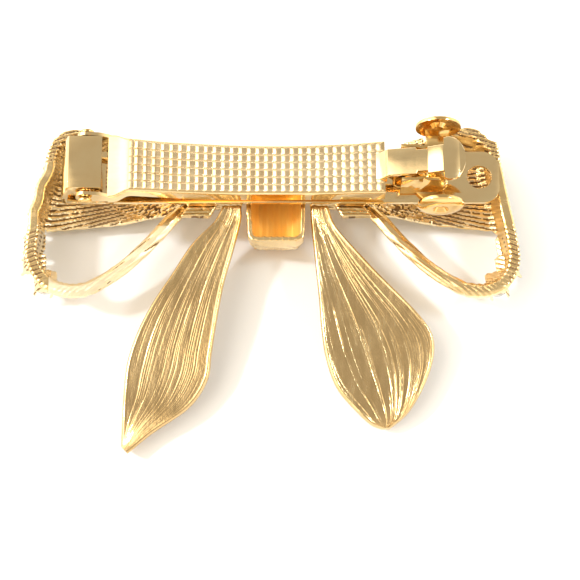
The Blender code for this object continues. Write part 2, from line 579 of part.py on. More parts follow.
def wing(name, side):
    """Clasp wall with its inward catch, the neck beside it and the dished thumb pad."""
    mid, half = (WALL_X0 + WALL_X1) / 2, (WALL_X1 - WALL_X0) / 2
    foot_z = BASE_TOP + 0.6
    rings = []
    for i in range(13):
        x = WALL_X0 + (WALL_X1 - WALL_X0) * i / 12
        catch = max(0.0, 1 - abs(x - 26.6) / 0.9)
        row = []
        for z, k in ((foot_z, 0), (WALL_TOP - 2.6, 0), (WALL_TOP - 0.9, 0.5), (WALL_TOP, 0.42)):
            row.append((x, side * (WALL_Y - catch * k), z))
        back = [(x, p[1] + side * 0.55, p[2]) for p in reversed(row)]
        rings.append(row + back)
    obj = solid(name, *loft(rings), SPRING, (mid, side * WALL_Y, foot_z))
    # path of the neck out from the wall's foot and up into the pad: Y, height, its two ends in X
    path = ((3.2, 0.8, 25.4, WALL_X1), (4.2, 0.9, 26.4, 31.1), (5.4, 1.05, 27.6, 31.4),
            (6.6, 1.3, 27.9, 31.6), (7.7, 1.9, 27.7, 31.8), (8.3, 3.4, 27.5, 32.0))
    neck = []
    for i, (y, z, x0, x1) in enumerate(path):
        a, b = path[max(i - 1, 0)], path[min(i + 1, len(path) - 1)]
        d = Vector((b[0] - a[0], b[1] - a[1])).normalized() * 0.5
        neck.append([(x0, side * y, BASE_TOP + z), (x1, side * y, BASE_TOP + z),
                     (x1, side * (y - d.y), BASE_TOP + z + d.x),
                     (x0, side * (y - d.y), BASE_TOP + z + d.x)])
    combine(obj, loft(neck), "UNION")
    # dished disc with a dimple in the middle, thickness along Y
    rows = ((-0.35, 0.0), (-0.55, 0.9), (0.15, 1.5), (0.1, 2.8), (-0.15, 3.7), (-0.5, PAD_R))
    rings = []
    for back in (0, 1):
        seq = rows if back == 0 else rows[::-1]
        for d, r in seq:
            if r == 0.0:
                r = 0.25
            y = side * (PAD_Y + d + (0.0 if back == 0 else 0.55))
            rings.append([(PAD_X + r * math.cos(math.tau * k / 24), y,
                           PAD_Z + r * math.sin(math.tau * k / 24)) for k in range(24)])
    combine(obj, loft(rings), "UNION")
    return smooth(obj, 35)


wing("upper_wing", 1)
wing("lower_wing", -1)
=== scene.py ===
"""Looks of the bow barrette: finer metalwork, faceted stones, materials, studio and camera.

Shapes are worked out in clip coordinates: millimetres from the clip's middle, on the table,
with +X to its clasp.
"""
import math

import bmesh
import bpy
import numpy as np
from mathutils import Matrix, Vector

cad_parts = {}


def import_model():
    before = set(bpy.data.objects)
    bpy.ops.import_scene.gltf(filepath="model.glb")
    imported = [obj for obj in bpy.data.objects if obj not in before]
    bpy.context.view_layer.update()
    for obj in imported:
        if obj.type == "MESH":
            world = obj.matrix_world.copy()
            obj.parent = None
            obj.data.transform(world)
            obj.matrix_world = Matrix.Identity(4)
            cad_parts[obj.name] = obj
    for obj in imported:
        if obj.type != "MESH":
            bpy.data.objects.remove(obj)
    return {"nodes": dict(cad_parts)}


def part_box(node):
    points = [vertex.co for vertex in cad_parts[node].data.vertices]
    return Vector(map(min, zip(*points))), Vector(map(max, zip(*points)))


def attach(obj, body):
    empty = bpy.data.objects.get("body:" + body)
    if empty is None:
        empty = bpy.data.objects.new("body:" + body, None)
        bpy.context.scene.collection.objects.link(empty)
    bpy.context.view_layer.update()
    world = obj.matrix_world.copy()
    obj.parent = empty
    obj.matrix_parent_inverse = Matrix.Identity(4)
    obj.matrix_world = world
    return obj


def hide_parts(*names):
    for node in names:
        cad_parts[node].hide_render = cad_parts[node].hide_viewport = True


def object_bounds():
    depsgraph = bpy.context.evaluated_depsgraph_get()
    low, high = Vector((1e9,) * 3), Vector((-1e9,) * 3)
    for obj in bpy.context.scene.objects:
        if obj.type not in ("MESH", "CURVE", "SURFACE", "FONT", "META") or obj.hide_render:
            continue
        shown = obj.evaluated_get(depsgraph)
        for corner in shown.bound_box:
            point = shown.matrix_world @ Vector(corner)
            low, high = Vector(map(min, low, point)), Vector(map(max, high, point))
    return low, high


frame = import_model()
CAD_LOW, CAD_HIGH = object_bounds()
MM = 0.001
BASE_LEFT = -39.6  # the base plate's left end
BASE_TOP = 11.2

base_low, base_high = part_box("base_plate")
OX = base_low.x / MM - BASE_LEFT
OY = (base_low.y + base_high.y) / 2 / MM


def world(p):
    """Clip coordinates to metres in the frame."""
    return Vector(((p[0] + OX) * MM, (p[1] + OY) * MM, p[2] * MM))


def add(name, data):
    obj = bpy.data.objects.new(name, data)
    bpy.context.scene.collection.objects.link(obj)
    return obj


# ------------------------------------------------------------------ materials
class Nodes:
    """Small helper round one material's node tree."""

    def __init__(self, name, colour, metallic, roughness):
        self.m = bpy.data.materials.new(name)
        self.m.use_nodes = True
        self.t = self.m.node_tree
        self.bsdf = self.t.nodes["Principled BSDF"]
        self.bsdf.inputs["Base Color"].default_value = (*colour, 1)
        self.bsdf.inputs["Metallic"].default_value = metallic
        self.bsdf.inputs["Roughness"].default_value = roughness
        self.coord = self.t.nodes.new("ShaderNodeTexCoord")

    def node(self, kind, inputs=None, **settings):
        n = self.t.nodes.new(kind)
        for k, v in settings.items():
            setattr(n, k, v)
        for k, v in (inputs or {}).items():
            if isinstance(v, bpy.types.NodeSocket):
                self.t.links.new(v, n.inputs[k])
            else:
                n.inputs[k].default_value = v
        return n

    def mapped(self, scale, rotation=(0, 0, 0)):
        return self.node("ShaderNodeMapping", {"Vector": self.coord.outputs["Object"], "Scale": scale,
                                               "Rotation": rotation}).outputs[0]

    def noise(self, scale, detail=3.0, vector=None, roughness=0.55):
        return self.node("ShaderNodeTexNoise", {"Vector": vector or self.coord.outputs["Object"],
                                                "Scale": scale, "Detail": detail,
                                                "Roughness": roughness}).outputs["Fac"]

    def span(self, value, lo, hi, from_lo=0.3, from_hi=0.7):
        return self.node("ShaderNodeMapRange", {"Value": value, "From Min": from_lo, "From Max": from_hi,
                                                "To Min": lo, "To Max": hi}).outputs["Result"]

    def mix(self, factor, a, b):
        n = self.node("ShaderNodeMix", data_type="RGBA")
        for socket, v in ((n.inputs[0], factor), (n.inputs[6], a), (n.inputs[7], b)):
            if isinstance(v, bpy.types.NodeSocket):
                self.t.links.new(v, socket)
            elif isinstance(v, (int, float)):
                socket.default_value = v
            else:
                socket.default_value = (*v, 1)
        return n.outputs[2]

    def set(self, name, socket):
        self.t.links.new(socket, self.bsdf.inputs[name])

    def bump(self, height, strength, distance):
        b = self.node("ShaderNodeBump", {"Height": height, "Strength": strength, "Distance": distance})
        self.set("Normal", b.outputs["Normal"])


PALE = (0.93, 0.74, 0.42)
DEEP = (0.85, 0.58, 0.24)


def polished(name, rough, tones):
    """Plated sheet: fine scratches, faint orange peel, slightly uneven plating."""
    n = Nodes(name, PALE, 1.0, 0.12)
    cloud = n.noise(180, 3)
    n.set("Base Color", n.mix(n.span(cloud, 0.0, 1.0), *tones))
    scratch = n.noise(900, 4, n.mapped((0.12, 1.0, 1.0), (0, 0, 0.1)))
    n.set("Roughness", n.span(scratch, *rough))
    peel = n.noise(420, 2)
    both = n.node("ShaderNodeMath", {0: peel, 1: n.span(scratch, 0, 0.5)}, operation="ADD").outputs[0]
    n.bump(both, 0.10, 0.00006)
    return n.m


def cast(name, stretch, rough, strength, scale, tones, hollow=None):
    """Hand-finished casting: brushed one way, grainy in the hollows.

    hollow: painted glow of light bounced between gold faces down inside the casting; the height where it is
    fullest, the height where it ends, its colour, and how much duller it is.
    """
    n = Nodes(name, PALE, 1.0, 0.24)
    lines = n.noise(scale, 5, n.mapped(stretch), 0.7)
    grain = n.noise(1500, 3)
    cloud = n.noise(120, 3)
    colour = n.mix(n.span(cloud, 0.1, 0.9), *tones)
    dull = n.span(lines, *rough)
    if hollow:
        # painted reflected glow: down inside the casting the colour turns warmer, standing in for light
        # bounced between its gold faces, and the surface turns duller
        full, end, glow_colour, duller = hollow
        height = n.node("ShaderNodeSeparateXYZ", {0: n.coord.outputs["Object"]}).outputs["Z"]
        deep = n.span(height, 1.0, 0.0, full * MM, end * MM)
        colour = n.mix(deep, colour, glow_colour)
        added = n.span(deep, 0, duller, 0, 1)
        dull = n.node("ShaderNodeMath", {0: dull, 1: added}, operation="ADD").outputs[0]
    n.set("Base Color", colour)
    n.set("Roughness", dull)
    both = n.node("ShaderNodeMath", {0: lines, 1: n.span(grain, 0, 0.35)}, operation="ADD").outputs[0]
    n.bump(both, strength, 0.00012)
    return n.m


SHEET = polished("plated_sheet", (0.07, 0.17), (PALE, (0.90, 0.68, 0.36)))
# painted reflection: a deeper orange copy of the plating for the clasp pieces, standing in for light bounced
# inside the clasp
SPRING_GLOW_GOLD = polished("plated_spring_painted_glow", (0.09, 0.2), ((0.86, 0.62, 0.28), (0.78, 0.52, 0.2)))
WAFFLE = polished("embossed_sheet", (0.22, 0.32), ((0.90, 0.73, 0.47), (0.86, 0.66, 0.39)))
# painted shade: the tails take a darker tan copy of the gold
TAIL_SHADED_GOLD = cast("brushed_tail_painted_shade", (1.0, 0.06, 1.0), (0.16, 0.30), 0.3, 800,
            ((0.725, 0.54, 0.285), (0.63, 0.44, 0.205)))
# the casting's painted glow: paler yellow deep inside the loops, for light bounced between gold faces
CASTING = cast("brushed_casting", (0.14, 1.0, 1.0), (0.13, 0.3), 0.4, 420, (PALE, DEEP),
               hollow=(5.0, 8.8, (0.97, 0.80, 0.50), 0.06))
# painted reflection: the knot's hollow glows a strong orange, for light bounced between its gold faces
KNOT = cast("brushed_knot", (1.0, 0.15, 0.12), (0.15, 0.32), 0.45, 520, (PALE, DEEP),
            hollow=(6.0, 8.9, (1.0, 0.68, 0.20), 0.5))
# painted highlight: a paler gold copy of the casting, only for the left loop's lower band
BAND_HIGHLIGHT = cast("brushed_band_painted_highlight", (0.3, 1.0, 1.0), (0.34, 0.5), 0.5, 600,
            ((0.97, 0.87, 0.65), (0.93, 0.78, 0.50)))
# painted reflection: a deeper orange copy of the casting for the right loop's inward-facing wall, standing
# in for light bounced between gold faces
INNER_WALL_GLOW = cast("inner_wall_painted_glow", (1.0, 0.3, 1.0), (0.3, 0.5), 0.5, 500,
             ((0.86, 0.60, 0.24), (0.74, 0.46, 0.14)))
# a dark brown copy of the casting, painted into the deepest parts of the surface marks
DARK_MARKS = cast("darker_deep_marks", (1.0, 1.0, 1.0), (0.4, 0.6), 0.3, 900,
              ((0.30, 0.19, 0.09), (0.16, 0.09, 0.04)))


def solder():
    """Grey joint left lumpy by the iron."""
    n = Nodes("solder", (0.6, 0.56, 0.48), 1.0, 0.4)
    lumps = n.noise(500, 4)
    n.set("Base Color", n.mix(n.span(lumps, 0, 1), (0.66, 0.62, 0.54), (0.42, 0.38, 0.32)))
    n.set("Roughness", n.span(lumps, 0.3, 0.55))
    n.bump(lumps, 0.5, 0.0002)
    return n.m


def glass():
    """Clear stone over a silvered back: bright, with faint colour."""
    n = Nodes("rhinestone", (0.96, 0.97, 0.98), 0.0, 0.02)
    n.bsdf.inputs["IOR"].default_value = 1.58
    n.bsdf.inputs["Transmission Weight"].default_value = 0.85
    cloud = n.noise(700, 2)
    n.set("Base Color", n.mix(n.span(cloud, 0, 1), (0.99, 0.99, 1.0), (0.90, 0.93, 0.97)))
    n.set("Roughness", n.span(cloud, 0.01, 0.04))
    return n.m


def foil():
    """Silvered back of a stone."""
    n = Nodes("stone_foil", (0.88, 0.89, 0.9), 1.0, 0.12)
    cloud = n.noise(900, 2)
    n.set("Base Color", n.mix(n.span(cloud, 0, 1), (0.93, 0.94, 0.95), (0.78, 0.79, 0.8)))
    n.set("Roughness", n.span(cloud, 0.08, 0.2))
    return n.m


SOLDER, GLASS, FOIL = solder(), glass(), foil()


# ------------------------------------------------------------------ shapes
def spline(points, count):
    """Evenly stepped points on a smooth curve through the given ones."""
    p = [Vector(q) for q in points]
    p = [p[0] * 2 - p[1]] + p + [p[-1] * 2 - p[-2]]
    spans = len(p) - 3
    out = []
    for i in range(count):
        t = i / (count - 1) * spans
        k = min(int(t), spans - 1)
        t -= k
        a, b, c, d = p[k : k + 4]
        out.append(0.5 * (2 * b + (c - a) * t + (2 * a - 5 * b + 4 * c - d) * t * t
                          + (3 * b - a - 3 * c + d) * t * t * t))
    return out


def at(points, x):
    """Value at x, eased from each (x, value) pair to the next."""
    if x <= points[0][0]:
        return points[0][1]
    for (x0, v0), (x1, v1) in zip(points, points[1:]):
        if x <= x1:
            t = (x - x0) / (x1 - x0)
            return v0 + (v1 - v0) * t * t * (3 - 2 * t)
    return points[-1][1]


def loft(rings):
    """Vertices and faces of a closed tube through the rings, with its two ends shut."""
    n = len(rings[0])
    verts = [v for ring in rings for v in ring]
    faces = []
    for i in range(len(rings) - 1):
        for j in range(n):
            k = (j + 1) % n
            faces.append((i * n + j, i * n + k, (i + 1) * n + k, (i + 1) * n + j))
    faces += [tuple(range(n)), tuple(range(len(verts) - n, len(verts)))]
    return verts, faces


def shade(obj, angle):
    """Smooth faces with sharp edges above the angle."""
    for poly in obj.data.polygons:
        poly.use_smooth = True
    obj.data.set_sharp_from_angle(angle=math.radians(angle))


def make(name, verts, faces, mat, angle=35):
    """Mesh object from clip coordinates, its faces outward, smooth below the angle."""
    mesh = bpy.data.meshes.new(name)
    mesh.from_pydata([world(v) for v in verts], [], faces)
    bm = bmesh.new()
    bm.from_mesh(mesh)
    bmesh.ops.recalc_face_normals(bm, faces=bm.faces)
    if bm.calc_volume(signed=True) < 0:
        bmesh.ops.reverse_faces(bm, faces=bm.faces)
    bm.to_mesh(mesh)
    bm.free()
    mesh.materials.append(mat)
    obj = add(name, mesh)
    shade(obj, angle)
    return obj


def evaluated(obj):
    """Apply the object's modifiers to its mesh."""
    bpy.context.view_layer.update()
    graph = bpy.context.evaluated_depsgraph_get()
    mesh = bpy.data.meshes.new_from_object(obj.evaluated_get(graph))
    obj.modifiers.clear()
    obj.data = mesh
    return obj


def copy_of(node, name, mat):
    """A free copy of a CAD node's mesh, with split corners merged."""
    src = frame["nodes"][node]
    mesh = src.data.copy()
    mesh.materials.clear()
    mesh.materials.append(mat)
    obj = add(name, mesh)
    obj.matrix_world = src.matrix_world.copy()
    bm = bmesh.new()
    bm.from_mesh(mesh)
    bmesh.ops.remove_doubles(bm, verts=bm.verts, dist=2e-6)
    bmesh.ops.dissolve_limit(bm, angle_limit=math.radians(0.8), verts=bm.verts, edges=bm.edges)
    bm.to_mesh(mesh)
    bm.free()
    for key in list(mesh.attributes.keys()):
        if key == "custom_normal":
            mesh.attributes.remove(mesh.attributes[key])
    return obj


def finish_piece(obj, body, node):
    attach(obj, body)
    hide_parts(node)


def stamped(node, body, mat, radius, angle=32):
    """CAD node carried over with its edges broken, as tumbling leaves them."""
    obj = copy_of(node, node + "_finished", mat)
    mod = obj.modifiers.new("edges", "BEVEL")
    mod.width = radius * MM
    mod.segments = 2
    mod.limit_method = "ANGLE"
    mod.angle_limit = math.radians(angle)
    mod.harden_normals = False
    evaluated(obj)
    shade(obj, 40)
    finish_piece(obj, body, node)


def positions(obj):
    co = np.empty(len(obj.data.vertices) * 3, np.float32)
    obj.data.vertices.foreach_get("co", co)
    return co.reshape(-1, 3).astype(np.float64)


def normals(obj):
    no = np.empty(len(obj.data.vertices) * 3, np.float32)
    obj.data.vertex_normals.foreach_get("vector", no)
    return no.reshape(-1, 3).astype(np.float64)


def smooth_noise(x, y, seed):
    """Soft periodic-free noise from summed sines, about -1 to 1."""
    r = np.random.default_rng(seed)
    total = 0
    for _ in range(6):
        height = r.uniform(0.4, 1)
        along_x = r.uniform(-1, 1)
        along_y = r.uniform(-1, 1)
        phase = r.uniform(0, 6.28)
        total = total + height * np.sin(along_x * x + along_y * y + phase)
    return total / 3


# ------------------------------------------------------------------ castings
def remeshed(node, mat, voxel=0.18):
    """CAD node as an even fine mesh with softened corners, ready for surface marks."""
    obj = copy_of(node, node + "_casting", mat)
    mod = obj.modifiers.new("remesh", "REMESH")
    mod.mode = "VOXEL"
    mod.voxel_size = voxel * MM
    mod.use_smooth_shade = True
    evaluated(obj)
    mod = obj.modifiers.new("soften", "SMOOTH")
    mod.factor = 0.5
    mod.iterations = 2
    return evaluated(obj)


def displace(obj, amount):
    """Move each vertex along its normal by amount(x, y, z, normals) in clip millimetres, never below z 0.

    Gives back the vertices' old places, their normals and how far each moved.
    """
    co, no = positions(obj), normals(obj)
    x, y, z = co[:, 0] / MM - OX, co[:, 1] / MM - OY, co[:, 2] / MM
    moved = amount(x, y, z, no)
    co += no * (moved * MM)[:, None]
    co[:, 2] = np.maximum(co[:, 2], CAD_LOW.z)
    obj.data.vertices.foreach_set("co", co.astype(np.float32).ravel())
    obj.data.update()
    return x, y, z, no, moved


def face_mean(obj, values):
    """Mean over each face's corners of a value held at the vertices."""
    mesh = obj.data
    corner = np.empty(len(mesh.loops), np.int32)
    mesh.loops.foreach_get("vertex_index", corner)
    start = np.empty(len(mesh.polygons), np.int32)
    mesh.polygons.foreach_get("loop_start", start)
    total = np.empty(len(mesh.polygons), np.int32)
    mesh.polygons.foreach_get("loop_total", total)
    return np.add.reduceat(values[corner].astype(np.float64), start) / total


def paint(obj, mat, chosen):
    """Give the chosen faces another material."""
    mesh = obj.data
    mesh.materials.append(mat)
    index = np.empty(len(mesh.polygons), np.int32)
    mesh.polygons.foreach_get("material_index", index)
    index[chosen] = len(mesh.materials) - 1
    mesh.polygons.foreach_set("material_index", index)


def ramp(value, start, length):
    """0 up to start, 1 from start + length."""
    return np.clip((value - start) / length, 0, 1)


MOSTLY, HALF = 0.6, 0.45  # share of a face's corners that decides its material
PINCH_U, PINCH_Y = 4.0, 1.0  # where a loop's file marks fan out from
PANEL_START, PANEL_TOP, PANEL_FOOT = 7.0, 7.6, -9.0
WALL_START, WALL_FOOT = 30.0, -17.0
BAND_END = 41.5
RIDGE, SPECKLE, DOME_RIB, WALL_RIB, CHISEL, STROKE, SCRATCH = 0.09, 0.34, 0.08, 0.055, 0.08, 0.05, 0.03


def loop_marks(side):
    """Surface marks of one loop; u runs outwards from the clip's middle."""
    def amount(x, y, z, no):
        u = side * x
        up = no[:, 2]
        # file marks across the front panel, fanning out from the pinch, coarser towards the wall
        fan = np.arctan2(y - PINCH_Y, u - PINCH_U)
        panel = (u > PANEL_START) & (up > 0.5) & (z < PANEL_TOP) & (y > PANEL_FOOT)
        coarse = ramp(u, 20, 12)
        ridges = np.sin(fan * 235 + 2.4 * smooth_noise(u * 0.5, y * 0.5, 3)) * coarse
        speckle = smooth_noise(u * 6.5, y * 12, 5) * smooth_noise(u * 9, y * 10, 6)
        marks = np.where(panel, RIDGE * ridges + SPECKLE * speckle * (1.25 - coarse), 0.0)
        # ribs over the rounded upper end
        dome = (u > 25) & (y > 3.5) & (up > 0.15) & (z < 10.4) & ~panel
        ribs = np.sin((y + 0.3 * u) * 8.2 + 0.8 * smooth_noise(u, y, 12))
        marks += np.where(dome, DOME_RIB * ribs, 0.0)
        # ribs up the inside of the outer wall, running in from the rim over the rounded end
        inner = (np.abs(up) < 0.6) & (u > WALL_START) & (y > WALL_FOOT)
        ribs = np.sin((y + 0.3 * u + 0.25 * z) * 7.6 + smooth_noise(u, z, 7))
        marks += np.where(inner, WALL_RIB * ribs, 0.0)
        # slanting chisel cuts fade in on the band's outer corner
        corner = ramp(u, 40.5, 2.5) * ramp(-y, 8.0, 2) * ramp(up, -0.1, 1 / 3)
        cuts = np.sin((u * 0.5 + y * 1.35) * 5.0 + 0.8 * smooth_noise(u * 0.7, y * 0.7, 8))
        marks += CHISEL * corner * cuts
        # long strokes along the lower band
        band = ramp(-y, 9.0, 2) * ramp(-u, -BAND_END, 2.5)
        across = u * 0.62 + y * 0.78
        strokes = np.sin(across * 8.4 + 1.1 * smooth_noise(u * 0.4, y * 0.4, 9))
        marks += band * (STROKE * strokes + SCRATCH * smooth_noise(across * 6, (u - y) * 0.5, 10))
        return marks + 0.01 * smooth_noise(x * 3, y * 3 + z * 2, 13)
    return amount


def dark_mark_depth(u, y, z):
    """How deep a mark has to be before it is painted darker."""
    limit = np.where(u > 24, -0.045, -0.012)  # the panel's ridged outer part, and its speckled inner part
    limit = np.where(u > 35, -0.075, limit)  # the outer wall
    limit = np.where(z > PANEL_TOP, -0.078, limit)  # the back rim
    return np.where(y < PANEL_FOOT, -0.062, limit)  # the lower band


def cast_loop(name, side):
    piece = remeshed(name, CASTING)
    x, y, z, no, moved = displace(piece, loop_marks(side))
    u, up = side * x, no[:, 2]
    wall = (u > WALL_START) & (y > WALL_FOOT)
    if side < 0:
        # painted highlight: the left loop's lower band takes the paler gold
        band = (y < -8.5) & (u < BAND_END) & (up > 0.2)
        paint(piece, BAND_HIGHLIGHT, face_mean(piece, band) > MOSTLY)
    else:
        # painted reflection: the right loop's inward-facing wall takes the deeper orange gold
        facing_in = wall & (np.abs(up) < 0.6) & (no[:, 0] < 0)
        paint(piece, INNER_WALL_GLOW, face_mean(piece, facing_in) > MOSTLY)
    # faces in the deepest marks on the back, and on the wall, are painted dark brown
    back = (up > 0.3) & (u > PANEL_START) & (moved < dark_mark_depth(u, y, z))
    dark = back | wall & (moved < -0.062) & (up > -0.6)
    paint(piece, DARK_MARKS, face_mean(piece, dark) > HALF)
    finish_piece(piece, "bow", name)


def knot_marks(x, y, z, no):
    """Strokes down the knot's hollow, and a rough outer foot."""
    streak = np.sin(x * 5.5 + 1.5 * smooth_noise(x * 0.8, z * 0.3, 21)) * 0.6
    streak = streak + 0.4 * np.sin(x * 11 + z * 0.6)
    inside = (np.abs(no[:, 2]) < 0.85) | (z < 7)
    foot = (y < -10.6) & (z < 8.6)
    rough = 0.10 * smooth_noise(x * 2.3, z * 3.1, 22)
    return np.where(inside, 0.08, 0.01) * streak + np.where(foot, rough, 0.0)


def cast_knot():
    piece = remeshed("knot", KNOT)
    x, y, _, _, _ = displace(piece, knot_marks)
    # faces outside the knot take the plain casting; the inside keeps the knot's painted orange glow
    outside = (np.abs(x) > 5.4) | (y < -10.9) | (y > 4.6)
    paint(piece, CASTING, face_mean(piece, outside) > MOSTLY)
    finish_piece(piece, "bow", "knot")


def bar_marks(x, y, z, no):
    """Lengthwise file marks and pits."""
    return (0.045 * np.sin(y * 9 + 1.2 * smooth_noise(x * 0.35, y, 31))
            + 0.11 * smooth_noise(x * 3.1, y * 4.3, 33) * smooth_noise(x * 1.9, y * 5.1, 34))


def cast_bar():
    piece = remeshed("centre_bar", CASTING)
    moved = displace(piece, bar_marks)[-1]
    # the deepest file marks and pits are painted dark brown
    paint(piece, DARK_MARKS, face_mean(piece, moved) < -0.045)
    finish_piece(piece, "bow", "centre_bar")


cast_loop("left_loop", -1)
cast_loop("right_loop", 1)
cast_knot()
cast_bar()


# ------------------------------------------------------------------ tails
TAIL_HEIGHTS = [(0, 8.5), (0.12, 8.0), (0.35, 6.9), (0.8, 3.9), (1, 2.6)]
ALONG, ACROSS = 110, 168
STROKE_FADE = 0.05  # how much of the blade's length a stroke takes to deepen
CURL_START = 0.87  # the tip turns from here on
BLADE_THICKNESS = 1.25


def brush_strokes(seed, sweep, deep):
    """Place across, width, depth, start, length and sideways drift of each stroke, as parts of the blade."""
    r = np.random.default_rng(seed)
    return [(r.uniform(0.02 - sweep, 0.98), r.uniform(0.0038, 0.0062), deep * r.uniform(0.014, 0.038),
             r.uniform(-0.3, 0.75), r.uniform(0.2, 0.8), r.uniform(-0.04, 0.04) + sweep) for _ in range(78)]


def stroke_cut(strokes, t, s):
    """Height that the strokes leave across the blade at one place along it."""
    cut = np.zeros(len(t))
    for centre, width, depth, start, length, drift in strokes:
        fade = ramp(s, start, STROKE_FADE) * ramp(-s, -start - length, STROKE_FADE)
        if fade > 0:
            cut -= depth * fade * np.exp(-(((t - centre - drift * s) / width) ** 2))
    return cut + 0.0025 * np.sin(t * 230 + 3 * np.sin(s * 7)) * (0.6 + 0.4 * np.sin(s * 31 + t * 17))


def tail(name, left_edge, right_edge, cup, seed, curl, sweep, deep):
    """Blade with brushed grooves cut along it: long lines of uneven depth, each with its own run."""
    left, right = spline(left_edge, ALONG), spline(right_edge, ALONG)
    strokes = brush_strokes(seed, sweep, deep)
    t = np.linspace(0, 1, ACROSS)
    rings = []
    for i in range(ALONG):
        s = i / (ALONG - 1)
        z = at(TAIL_HEIGHTS, s)
        cut = stroke_cut(strokes, t, s)
        twist = curl * max(0.0, (s - CURL_START) / (1 - CURL_START)) ** 1.3
        width = (right[i] - left[i]).length

        def shape(k):
            spot = left[i].lerp(right[i], t[k])
            bend = cup * (2 * t[k] - 1) ** 2 * math.sin(math.pi * min(1, s * 1.02 + 0.05))
            return spot, z + bend + twist * (t[k] - 0.5)

        row, under = [], []
        for k in range(ACROSS):
            spot, height = shape(k)
            inset = min(t[k], 1 - t[k]) * width
            rounding = 0.42 * max(0.0, 1 - inset / 0.4) ** 2
            depth = 1.0 if inset > 0.6 else 0.3
            lip = 0.06 * math.exp(-(((inset - 0.5) / 0.2) ** 2))
            row.append((spot.x, spot.y, height - rounding + lip + cut[k] * depth))
        for k in range(0, ACROSS, 6):
            spot, height = shape(k)
            under.append((spot.x, spot.y, height - BLADE_THICKNESS + (0.4 if k == 0 else 0)))
        spot, height = shape(ACROSS - 1)
        under.append((spot.x, spot.y, height - BLADE_THICKNESS + 0.4))
        rings.append(row + under[::-1])
    verts, faces = loft(rings)
    # painted shade: the blade takes the darker tan gold
    piece = make(name + "_blade", verts, faces, TAIL_SHADED_GOLD, 50)
    finish_piece(piece, "bow", name)


tail(
    "left_tail",
    [(-9.9, -4.6), (-11.6, -7.6), (-15.7, -11.9), (-19.5, -17.9), (-23.0, -23.6), (-25.6, -29.0),
     (-27.2, -34.2), (-27.7, -39.7), (-27.9, -45.1), (-28.1, -48.7)],
    [(-6.4, -4.6), (-6.5, -7.3), (-7.7, -12.5), (-9.5, -19.1), (-10.7, -25.7), (-11.7, -32.1),
     (-12.5, -37.2), (-15.9, -42.2), (-22.6, -46.9), (-26.8, -50.4)],
    cup=0.12, seed=41, curl=1.7, sweep=0.0, deep=0.8,
)
tail(
    "right_tail",
    [(6.4, -4.6), (6.5, -7.7), (7.2, -15.4), (7.8, -21.6), (8.2, -27.3), (9.0, -33.0),
     (10.8, -38.2), (13.7, -41.9), (16.9, -44.9), (19.1, -45.6)],
    [(9.7, -4.6), (11.2, -8.6), (16.4, -14.8), (21.4, -20.1), (26.1, -25.2), (28.6, -29.0),
     (28.7, -33.1), (26.8, -38.4), (24.0, -42.9), (20.7, -45.6)],
    cup=0.4, seed=43, curl=0.2, sweep=0.18, deep=1.75,
)

# ------------------------------------------------------------------ arm
WAFFLE_X0, WAFFLE_X1, COLS, ROWS = -26.4, 19.3, 29, 6
ARM_START, ARM_END, SHEET_T = -30.6, 19.9, 0.7
PIVOT_X, PIVOT_Z = -34.6, BASE_TOP + 4.9
PIN_HOLE = 1.0  # radius
EAR_RADIUS, EAR_T = 1.75, 0.65
# along the arm: height of its top over the base, half its width, depth of its sides
ARM_TOP = [(ARM_START, 5.3), (-28.6, 5.66), (-26.7, 6.06), (-25.8, 6.05), (-20, 5.0), (-11, 4.0), (-2, 3.6),
           (6, 3.7), (13, 4.2), (20, 5.0)]
ARM_HALF = [(-29.6, 6.2), (-26.7, 5.2), (-20, 5.05), (0, 4.85), (14, 5.0), (20, 5.2)]
ARM_DEPTH = [(ARM_START, 2.6), (-12, 3.0), (-3, 2.9), (8, 2.9), (20, 3.0)]
# one embossed cell, as parts of its length: where it starts in the pitch, its crest, the groove after it
CELL_PHASE, CREST, GROOVE = 0.58, 0.36, 0.07
RELIEF_LEFT, RELIEF_RIGHT = 0.25, 0.14
CREASE_LEFT, CREASE_RIGHT = 0.10, 0.35
# x, height over the base, half width
TONGUE = [
    (18.3, 4.95, 2.6), (19.0, 5.35, 2.6), (19.7, 6.3, 2.6), (20.3, 7.0, 2.6), (21.5, 7.25, 2.6),
    (23.4, 7.55, 2.6), (25.35, 7.85, 2.6), (25.6, 7.9, 2.15), (27.4, 8.15, 2.15), (27.5, 8.17, 2.6),
    (27.62, 8.2, 2.6), (28.6, 8.57, 2.6), (29.6, 8.94, 2.6), (30.1, 9.12, 2.6), (30.25, 9.15, 2.6),
    (30.33, 9.15, 2.6), (30.36, 9.15, 3.9), (30.8, 9.12, 4.1), (31.2, 9.1, 4.2), (31.7, 9.05, 4.17),
    (32.2, 9.0, 4.05), (32.7, 8.97, 3.8), (33.1, 8.95, 3.45), (33.5, 8.95, 2.95), (33.85, 8.95, 2.3),
    (34.1, 8.95, 1.65), (34.25, 8.95, 1.0), (34.3, 8.95, 0.6),
]


def arm_curve(x):
    """Height of the arm's top, on a smooth curve through ARM_TOP."""
    p = ARM_TOP
    for i in range(len(p) - 1):
        if x <= p[i + 1][0] or i == len(p) - 2:
            a, b, c, d = p[max(i - 1, 0)], p[i], p[i + 1], p[min(i + 2, len(p) - 1)]
            step = c[0] - b[0]
            t = (x - b[0]) / step
            slope_b = (c[1] - a[1]) / max(c[0] - a[0], 1e-6) * step
            slope_c = (d[1] - b[1]) / max(d[0] - b[0], 1e-6) * step
            return ((2 * t**3 - 3 * t * t + 1) * b[1] + (t**3 - 2 * t * t + t) * slope_b
                    + (3 * t * t - 2 * t**3) * c[1] + (t**3 - t * t) * slope_c)


